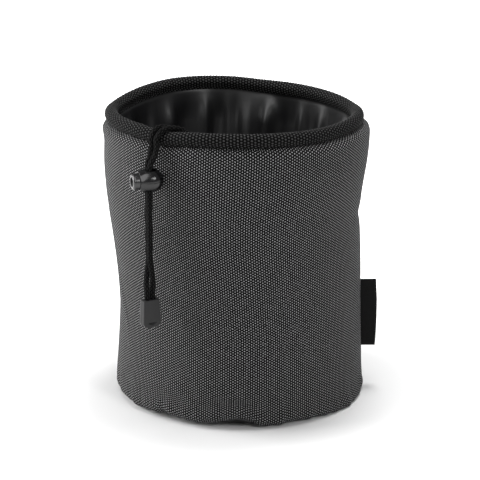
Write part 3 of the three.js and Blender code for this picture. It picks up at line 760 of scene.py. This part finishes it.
# The drawcord: a loop in the hem, and two strands that climb over the rim and hang down outside.
cordSpec = dict(
    diameter=3.5, azimuth=-35, standoff=0.4, swingStandoff=1.1, plaits=5, plaitPitch=1.4, plaitSink=0.14,
    plaitHeight=0.24, sides=40, step=0.36, loopPoints=60, loopSides=16, loopStep=0.9,
    blendBefore=3, blendAfter=2,  # two distances each side of the swing; the points made from them in makeStrand are not used
    # from the hem to the rim: azimuth, out from the rim's middle circle, up from its middle
    frontRise=[
        (-10, -5.1, -62), (-12.2, -5.4, -61.9), (-14.7, -6.8, -60.8), (-16.7, -8.9, -57.6),
        (-18, -10.6, -53), (-18.8, -11.3, -43), (-19.3, -11.1, -27), (-20.3, -9.9, -12), (-22, -8.1, -2.5),
        (-25.5, -6.4, 3.6), (-29, -3.4, 6), (-31.8, 0.6, 6.5), (-33, 4.4, 4.7),
    ],
    backRise=[
        (-31, -5.1, -62), (-28.8, -5.4, -61.9), (-26.3, -6.8, -60.8), (-24.3, -8.9, -57.6),
        (-23.3, -10.6, -53), (-23, -11.3, -43), (-23.6, -11.1, -27), (-24.6, -9.9, -12), (-26.4, -8.3, -2.5),
        (-29.6, -7.6, 3.2), (-33.2, -4.1, 6), (-35.6, 0.6, 6.5), (-36.2, 4.4, 4.7),
    ],
    # both strands: down from the rim's middle, share of the way in from the hanging line to the rim, and
    # the direction in degrees from the back strand to the front one
    hangRoute=[
        (-0.8, 1, -35), (4, 0.77, -38), (8.3, 0.43, -47), (12, 0.14, -60), (15.4, 0.02, -68.5), (19, 0, -70),
        (30, 0, -70), (45, 0, -70), (60, 0, -70), (75, 0, -70), (80, 0, -47), (85, 0, -20), (90, 0, 10),
        (95, 0, 30), (102, 0, 30), (110.2, 0, 30),
    ],
)
hemTurn = cordSpec["diameter"] / 2 + collarSpec["hemRoom"] + collarSpec["cloth"] / 2
hemRadius = skirtRadius + hemTurn
pairHalf = cordSpec["diameter"] / 2 + fit / 2
swingRadius = rimRadius + rimSpec["width"] / 2 + cordSpec["swingStandoff"] + cordSpec["diameter"] / 2


# A smooth curve through the chosen points, as rows close together.
def smoothRoute(points, step):
    points = np.array(points, float)
    padded = np.vstack([2 * points[0] - points[1], points, 2 * points[-1] - points[-2]])
    rows = []
    for p0, p1, p2, p3 in zip(padded, padded[1:], padded[2:], padded[3:]):
        spans = [math.sqrt(np.linalg.norm(b - a)) for a, b in ((p0, p1), (p1, p2), (p2, p3))]
        t0, t1, t2, t3 = np.cumsum([0] + spans)
        count = max(2, math.ceil(np.linalg.norm(p2 - p1) / step))
        t = np.linspace(t1, t2, count, endpoint=False)[:, None]

        def between(a, b, first, second):
            return (second - t) / (second - first) * a + (t - first) / (second - first) * b

        a1, a2, a3 = between(p0, p1, t0, t1), between(p1, p2, t1, t2), between(p2, p3, t2, t3)
        b1, b2 = between(a1, a2, t0, t2), between(a2, a3, t1, t3)
        rows.append(between(b1, b2, t1, t2))
    return np.vstack(rows + [points[-1:]])


def evenRoute(points, step):
    route = smoothRoute(points, step / 3)
    lengths = np.concatenate([[0], np.cumsum(np.linalg.norm(np.diff(route, axis=0), axis=1))])
    even = np.linspace(0, lengths[-1], math.ceil(lengths[-1] / step) + 1)
    return np.stack([np.interp(even, lengths, route[:, i]) for i in range(3)], axis=1), lengths[-1]


# A braided tube: a grid of plaits wrapped round the route, each plait standing proud where it is on top.
def braidTube(name, route, length, sides):
    spec = cordSpec
    rows = len(route) - 1
    along = np.gradient(route, axis=0)
    along /= np.linalg.norm(along, axis=1)[:, None]
    aside = np.empty_like(along)
    aside[0] = np.cross(along[0], (0.3, 0.5, 0.8))  # a direction that no strand starts along
    for i in range(1, rows + 1):
        aside[i] = aside[i - 1] - along[i] * (aside[i - 1] @ along[i])
    aside /= np.linalg.norm(aside, axis=1)[:, None]
    upward = np.cross(along, aside)
    plaitsAtRow = np.linspace(0, length / spec["plaitPitch"], rows + 1)
    bm = yarnGrid(sides, rows, 2 * spec["plaits"], plaitsAtRow)
    for vert in bm.verts:
        around = (vert.co.x + 0.5) * 2 * math.pi
        i = round((vert.co.y + 0.5) * rows)
        plait = abs(math.cos(around * spec["plaits"]) * math.cos(math.pi * plaitsAtRow[i]))
        radius = spec["diameter"] / 2 - spec["plaitSink"] + spec["plaitHeight"] * plait
        vert.co = (route[i] + radius * (math.cos(around) * aside[i] + math.sin(around) * upward[i])) * mm
    bmesh.ops.remove_doubles(bm, verts=bm.verts, dist=weld)
    closeHoles(bm)
    bmesh.ops.recalc_face_normals(bm, faces=bm.faces)
    tube = newPiece(name, bm)
    paint(tube, materials["braid"])
    return tube


def strandPoints(rise, side):
    top = rimSpec["height"]
    risen = settle([polar(azimuth, rimRadius + out, top + up) for azimuth, out, up in rise])
    hung = []
    for down, share, lay in cordSpec["hangRoute"]:
        radius = hangRadius + (swingRadius - hangRadius) * share
        middle = polar(cordSpec["azimuth"], radius, top - down)
        angle = math.radians(lay)
        hung.append(middle + side * pairHalf * np.array([math.cos(angle), math.sin(angle), 0]))
    hung = np.array(hung)
    free = smoothStep(hung[:, 2], top - lockSpec["drop"] + lockSpec["ballRadius"], top)[:, None]
    return np.vstack([risen, hung + free * (settle(hung) - hung)])


def makeStrand(name, rise, side, nodes):
    spec = cordSpec
    points = strandPoints(rise, side)
    route, length = evenRoute(points, spec["step"])
    strand = braidTube(name, route, length, spec["sides"])
    polar(spec["azimuth"], swingRadius - spec["blendBefore"], rimSpec["height"]) * mm
    polar(spec["azimuth"], swingRadius + spec["blendAfter"], rimSpec["height"]) * mm
    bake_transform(strand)
    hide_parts(*nodes)


def makeLoop():
    spec = cordSpec
    azimuths = np.linspace(collarSpec["gapTo"], collarSpec["gapFrom"] + 360, spec["loopPoints"])
    points = settle(gather(polar(azimuths, hemRadius, hemHeight)))
    route, length = evenRoute(points, spec["loopStep"])
    loop = braidTube("drawcordLoop", route, length, spec["loopSides"])
    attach(loop, "bag")
    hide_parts("drawcord_loop")


# Hard pieces are shaped where they are drawn, then cut, then put in place.
def spinForm(name, outline, steps):
    bm = bmesh.new()
    verts = [bm.verts.new((along * mm, 0, radius * mm)) for radius, along in outline]
    edges = [bm.edges.new(pair) for pair in zip(verts, verts[1:])]
    bmesh.ops.spin(
        bm, geom=verts + edges, cent=(0, 0, 0), axis=(1, 0, 0), angle=2 * math.pi, steps=steps,
        use_merge=True,
    )
    bmesh.ops.remove_doubles(bm, verts=bm.verts, dist=weld)
    bmesh.ops.recalc_face_normals(bm, faces=bm.faces)
    return newPiece(name, bm)


def roundEdges(bm, edges, radius, segments):
    bmesh.ops.bevel(
        bm, geom=edges, offset=radius * mm, affect="EDGES", segments=segments, profile=0.5, material=-1
    )


# Cuts along a plane. Where a side is cleared, the cut is closed.
def cutFlat(bm, place, normal, clear=False):
    whole = bm.verts[:] + bm.edges[:] + bm.faces[:]
    cut = bmesh.ops.bisect_plane(bm, geom=whole, plane_co=place, plane_no=normal, clear_outer=clear)
    if clear:
        closeHoles(bm)
    return [part for part in cut["geom_cut"] if isinstance(part, bmesh.types.BMVert)]


def cutPiece(piece, cutter):
    cut = piece.modifiers.new("cut", "BOOLEAN")
    cut.operation = "DIFFERENCE"
    cut.solver = "EXACT"
    cut.object = cutter
    bpy.context.view_layer.update()
    mesh = bpy.data.meshes.new_from_object(piece.evaluated_get(bpy.context.evaluated_depsgraph_get()))
    piece.modifiers.clear()
    piece.data = mesh
    bpy.data.objects.remove(cutter)


def creaseByAngle(piece):
    bm = bmesh.new()
    bm.from_mesh(piece.data)
    bmesh.ops.remove_doubles(bm, verts=bm.verts, dist=weld)
    for edge in bm.edges:
        edge.smooth = edge.calc_face_angle(0) < math.radians(creaseAngle)
    for face in bm.faces:
        face.smooth = True
    bm.to_mesh(piece.data)
    bm.free()


def placeHard(piece, place, finish, body, node):
    creaseByAngle(piece)
    piece.data.transform(place)
    piece.data.materials.clear()
    paint(piece, materials[finish])
    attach(piece, body)
    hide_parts(node)


# The cord lock: a ball with a bore, and a plunger in it that a spring presses out. The cord passes down
# through a slot in each. Reaches are measured along the plunger from the ball's middle.
lockSpec = dict(
    drop=22.5, yaw=200, ballRadius=7.5, mouthRadius=6, mouthReach=8, mouthLip=0.25, ballBack=0.4,
    boreRadius=5.4, boreFloor=4.7, pocketRadius=3.4, blindWall=1.5, slotLength=6.2, slotOuterEdge=3.7,
    plungerWeb=1.6, plungerReach=12.2, plungerEdge=1.5, dishRadius=2.9, dishDepth=1.4, dishEdge=0.3,
    postRadius=1.9, postLength=0.9, partingDrop=0.1, partingHalf=0.16, partingDepth=0.14, steps=96,
    flankSteps=12,
)
slotMiddle = lockSpec["slotOuterEdge"] - lockSpec["slotLength"] / 2
plungerTravel = lockSpec["slotLength"] - cordSpec["diameter"] - 2 * fit
strandInLock = lockSpec["slotOuterEdge"] - fit - cordSpec["diameter"] / 2
lockRadius = panelSpec["topRadius"] + cordSpec["standoff"] + lockSpec["ballRadius"]
lockTurn = math.radians(lockSpec["yaw"] - cordSpec["azimuth"] + 90)
hangRadius = lockRadius + strandInLock * math.cos(lockTurn)


def slotCutter(middle):
    spec = lockSpec
    width = 2 * pairHalf + cordSpec["diameter"] + 2 * fit
    bm = bmesh.new()
    bmesh.ops.create_cube(bm, size=1)
    size = Vector((spec["slotLength"], width, 4 * spec["ballRadius"])) * mm
    bmesh.ops.scale(bm, vec=size, verts=bm.verts)
    upright = [edge for edge in bm.edges if abs((edge.verts[0].co - edge.verts[1].co).z) > mm]
    roundEdges(bm, upright, cordSpec["diameter"] / 2 + fit, segments=8)
    bmesh.ops.translate(bm, vec=(middle * mm, 0, 0), verts=bm.verts)
    return newPiece("slotCutter", bm)


def lockPlace():
    yaw = math.radians(lockSpec["yaw"])
    strands = polar(cordSpec["azimuth"], hangRadius, rimSpec["height"] - lockSpec["drop"])
    ball = strands - strandInLock * np.array([math.cos(yaw), math.sin(yaw), 0])
    return Matrix.Translation(Vector(ball * mm)) @ Matrix.Rotation(yaw, 4, "Z")


def makeBarrel():
    spec = lockSpec
    lip, back = spec["mouthLip"], spec["ballBack"]
    pocketFloor = spec["blindWall"] - back - spec["ballRadius"]
    shoulder = math.acos(spec["mouthRadius"] / spec["ballRadius"])
    angles = np.linspace(0, shoulder, spec["flankSteps"] + 1)
    reach = (spec["mouthReach"] - lip + back) * np.sin(angles) / math.sin(shoulder) - back
    flank = np.stack([spec["ballRadius"] * np.cos(angles), reach], axis=1)
    outline = joinLines(
        arcLine(0, -back, spec["ballRadius"], -90, 0, steps=24),
        flank,
        arcLine(spec["mouthRadius"] - lip, spec["mouthReach"] - lip, lip, 0, 90, steps=4),
        arcLine(spec["boreRadius"] + lip, spec["mouthReach"] - lip, lip, 90, 180, steps=4),
        (spec["boreRadius"], -spec["boreFloor"]),
        (spec["pocketRadius"], -spec["boreFloor"]),
        (spec["pocketRadius"], pocketFloor),
        (0, pocketFloor),
    )
    barrel = spinForm("cordLockBarrel", outline, spec["steps"])
    # The moulding's parting line is a fine groove round the outside.
    bm = bmesh.new()
    bm.from_mesh(barrel.data)
    cuts = []
    for offset in (-spec["partingHalf"], 0, spec["partingHalf"]):
        cuts.append(cutFlat(bm, (0, 0, (offset - spec["partingDrop"]) * mm), (0, 0, 1)))
    for vert in cuts[1]:
        beyondBore = math.hypot(vert.co.y, vert.co.z) > (spec["boreRadius"] + fit) * mm
        if beyondBore or vert.co.x < pocketFloor * mm:
            vert.co -= vert.normal * spec["partingDepth"] * mm
    bm.to_mesh(barrel.data)
    bm.free()
    cutPiece(barrel, slotCutter(slotMiddle))
    placeHard(barrel, lockPlace(), "gloss", "cord_lock", "cord_lock_barrel")
    return barrel


def makePlunger():
    spec = lockSpec
    radius, reach, edge = spec["boreRadius"] - fit, spec["plungerReach"], spec["plungerEdge"]
    dish, dishEdge, dishFloor = spec["dishRadius"], spec["dishEdge"], reach - spec["dishDepth"]
    back = slotMiddle + plungerTravel - spec["slotLength"] / 2 - spec["plungerWeb"]
    outline = joinLines(
        (0, back - spec["postLength"]),
        (spec["postRadius"], back - spec["postLength"]),
        (spec["postRadius"], back),
        (radius, back),
        arcLine(radius - edge, reach - edge, edge, 0, 90, steps=8),
        arcLine(dish + dishEdge, reach - dishEdge, dishEdge, 90, 180, steps=4),
        arcLine(dish - dishEdge, dishFloor + dishEdge, dishEdge, 0, -90, steps=4),
        (0, dishFloor),
    )
    plunger = spinForm("cordLockPlunger", outline, spec["steps"])
    cutPiece(plunger, slotCutter(slotMiddle + plungerTravel))
    placeHard(plunger, lockPlace(), "satin", "lock_plunger", "cord_lock_plunger")
    return plunger


# The spring keeps its solid from the frame.
def finishSpring():
    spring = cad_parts["cord_lock_spring"]
    spring.data.materials.clear()
    paint(spring, materials["steel"])
    return spring


# The cord end: two halves of a tapered clip, with a channel for each strand and a thumb notch in front.
endSpec = dict(
    drop=99.5, yaw=30, height=17.9, topWidth=10.9, footWidth=12.6, topDepth=6, footDepth=7, corner=3.9,
    edge=0.6, sharpAngle=35, channelDepth=11, thumbDish=3.8, thumbDepth=2.2, thumbFoot=1.6, thumbEdge=3.4,
)


def rodCutter(radius, length, matrix):
    bm = bmesh.new()
    bmesh.ops.create_cone(
        bm, cap_ends=True, segments=48, radius1=radius * mm, radius2=radius * mm, depth=length * mm,
        matrix=matrix,
    )
    return newPiece("rodCutter", bm)


def cordEndHalf(name, side):
    spec = endSpec
    bm = bmesh.new()
    bmesh.ops.create_cube(bm, size=1)
    bmesh.ops.translate(bm, vec=(0, 0, 0.5), verts=bm.verts)
    size = Vector((spec["footWidth"], spec["footDepth"], spec["height"])) * mm
    bmesh.ops.scale(bm, vec=size, verts=bm.verts)
    top = [vert for vert in bm.verts if vert.co.z > mm]
    taper = (spec["topWidth"] / spec["footWidth"], spec["topDepth"] / spec["footDepth"], 1)
    bmesh.ops.scale(bm, vec=taper, verts=top)
    corners = [e for e in bm.edges if abs((e.verts[0].co - e.verts[1].co).y) > mm and e.verts[0].co.z < mm]
    roundEdges(bm, corners, spec["corner"], segments=10)
    sharp = [e for e in bm.edges if e.calc_face_angle(0) > math.radians(spec["sharpAngle"])]
    roundEdges(bm, sharp, spec["edge"], segments=4)
    cutFlat(bm, (0, side * fit / 2 * mm, 0), (0, -side, 0), clear=True)
    bmesh.ops.recalc_face_normals(bm, faces=bm.faces)
    half = newPiece(name, bm)
    for across in (-pairHalf, pairHalf):
        place = Matrix.Translation((across * mm, 0, spec["height"] * mm))
        cutPiece(half, rodCutter(cordSpec["diameter"] / 2 + fit, 2 * spec["channelDepth"], place))
    return half


# The lower part of a round dish, under a straight edge for a thumb nail.
def thumbCutter():
    spec = endSpec
    radius = (spec["thumbDish"] ** 2 + spec["thumbDepth"] ** 2) / (2 * spec["thumbDepth"])
    middle = (0, spec["thumbDepth"] - radius - spec["footDepth"] / 2, spec["thumbFoot"] + spec["thumbDish"])
    place = Matrix.Translation(Vector(middle) * mm)
    bm = bmesh.new()
    bmesh.ops.create_uvsphere(bm, u_segments=128, v_segments=64, radius=radius * mm, matrix=place)
    cutFlat(bm, (0, 0, spec["thumbEdge"] * mm), (0, 0, 1), clear=True)
    return newPiece("thumbCutter", bm)


def makeCordEnd():
    spec = endSpec
    front = cordEndHalf("cordEndFront", -1)
    back = cordEndHalf("cordEndBack", 1)
    cutPiece(front, thumbCutter())
    foot = polar(cordSpec["azimuth"], hangRadius, rimSpec["height"] - spec["drop"] - spec["height"])
    place = Matrix.Translation(Vector(foot * mm)) @ Matrix.Rotation(math.radians(spec["yaw"]), 4, "Z")
    for piece, node in ((front, "cord_end_front"), (back, "cord_end_back")):
        placeHard(piece, place, "matt", "hanging_cords", node)
    return front, back


makeSidePanel()
makeBasePanel()
makeBaseSeamBinding()
makeSideSeamTape()
makeRimBinding()
makeRimCore()
makeCollar()
makeLabel()
print("cloth pieces made")

fittings = [*makeCordEnd(), makeBarrel(), makePlunger(), finishSpring()]
print("lock and cord end made")

makeLoop()
frontNodes = ("drawcord_rise_front", "drawcord_hang_front")
backNodes = ("drawcord_rise_back", "drawcord_hang_back")
makeStrand("drawcordFront", cordSpec["frontRise"], 1, frontNodes)
makeStrand("drawcordBack", cordSpec["backRise"], -1, backNodes)
print("drawcord made")

# A white floor and soft studio light, in metres and watts. The floor's glow keeps it white far from the
# lamps. The camera and mirrors see it, and it lights nothing.
stageSpec = dict(
    floorSize=60.0, floorColour=(0.81, 0.81, 0.81), glowFrom=0.1, glowTo=0.25, glowNear=0.0, glowFar=0.75,
    skyLight=0.3, lampTarget=(0, 0, 0.1),
)
# The front card only shows in gloss, and the two high lamps never do.
lampSpecs = dict(
    topLamp=dict(place=(0, 0, 1.4), size=(0.8, 0.8), power=10.6, onCloth=True, inGloss=False),
    backLamp=dict(place=(0.15, 0.25, 1.35), size=(0.4, 0.4), power=9.4, onCloth=True, inGloss=False),
    leftLamp=dict(place=(-1.4, 0.15, 0.6), size=(1.2, 1.2), power=31, onCloth=True, inGloss=True),
    rightLamp=dict(place=(0.93, -1.21, 0.95), size=(0.45, 0.45), power=8, onCloth=True, inGloss=True),
    frontCard=dict(place=(-0.17, -0.93, 1.02), size=(0.7, 2.0), power=15, onCloth=False, inGloss=True),
)


def makeFloor(spec):
    bm = bmesh.new()
    bmesh.ops.create_grid(bm, x_segments=1, y_segments=1, size=spec["floorSize"] / 2)
    floor = newPiece("floor", bm)
    material, tree, shader = newMaterial("white floor", roughness=0.9, specular=0.0)
    shader.inputs["Base Color"].default_value = (*spec["floorColour"], 1.0)
    place = tree.nodes.new("ShaderNodeTexCoord")
    away = tree.nodes.new("ShaderNodeVectorMath")
    away.operation = "LENGTH"
    tree.links.new(place.outputs["Object"], away.inputs[0])
    glow = rangeNode(
        tree, away.outputs["Value"], spec["glowFrom"], spec["glowTo"], spec["glowNear"], spec["glowFar"]
    )
    path = tree.nodes.new("ShaderNodeLightPath")
    mirrored = mathNode(tree, "MAXIMUM", path.outputs["Is Glossy Ray"], path.outputs["Is Transmission Ray"])
    seen = mathNode(tree, "MAXIMUM", path.outputs["Is Camera Ray"], mirrored)
    tree.links.new(mathNode(tree, "MULTIPLY", seen, glow), shader.inputs["Emission Strength"])
    shader.inputs["Emission Color"].default_value = (1, 1, 1, 1)
    paint(floor, material)


def makeRoom(spec):
    world = bpy.data.worlds.new("white room")
    world.use_nodes = True
    sky = world.node_tree.nodes["Background"]
    sky.inputs["Color"].default_value = (1, 1, 1, 1)
    sky.inputs["Strength"].default_value = spec["skyLight"]
    bpy.context.scene.world = world
    for name, row in lampSpecs.items():
        lamp = bpy.data.lights.new(name, "AREA")
        lamp.shape = "ELLIPSE"
        lamp.size, lamp.size_y = row["size"]
        lamp.energy = row["power"]
        holder = bpy.data.objects.new(name, lamp)
        holder.visible_camera = False
        holder.visible_diffuse = row["onCloth"]
        holder.visible_glossy = row["inGloss"]
        aimFrom(holder, row["place"], spec["lampTarget"])


makeFloor(stageSpec)
makeRoom(stageSpec)
bpy.context.scene.view_settings.view_transform = "Standard"
print("stage set")
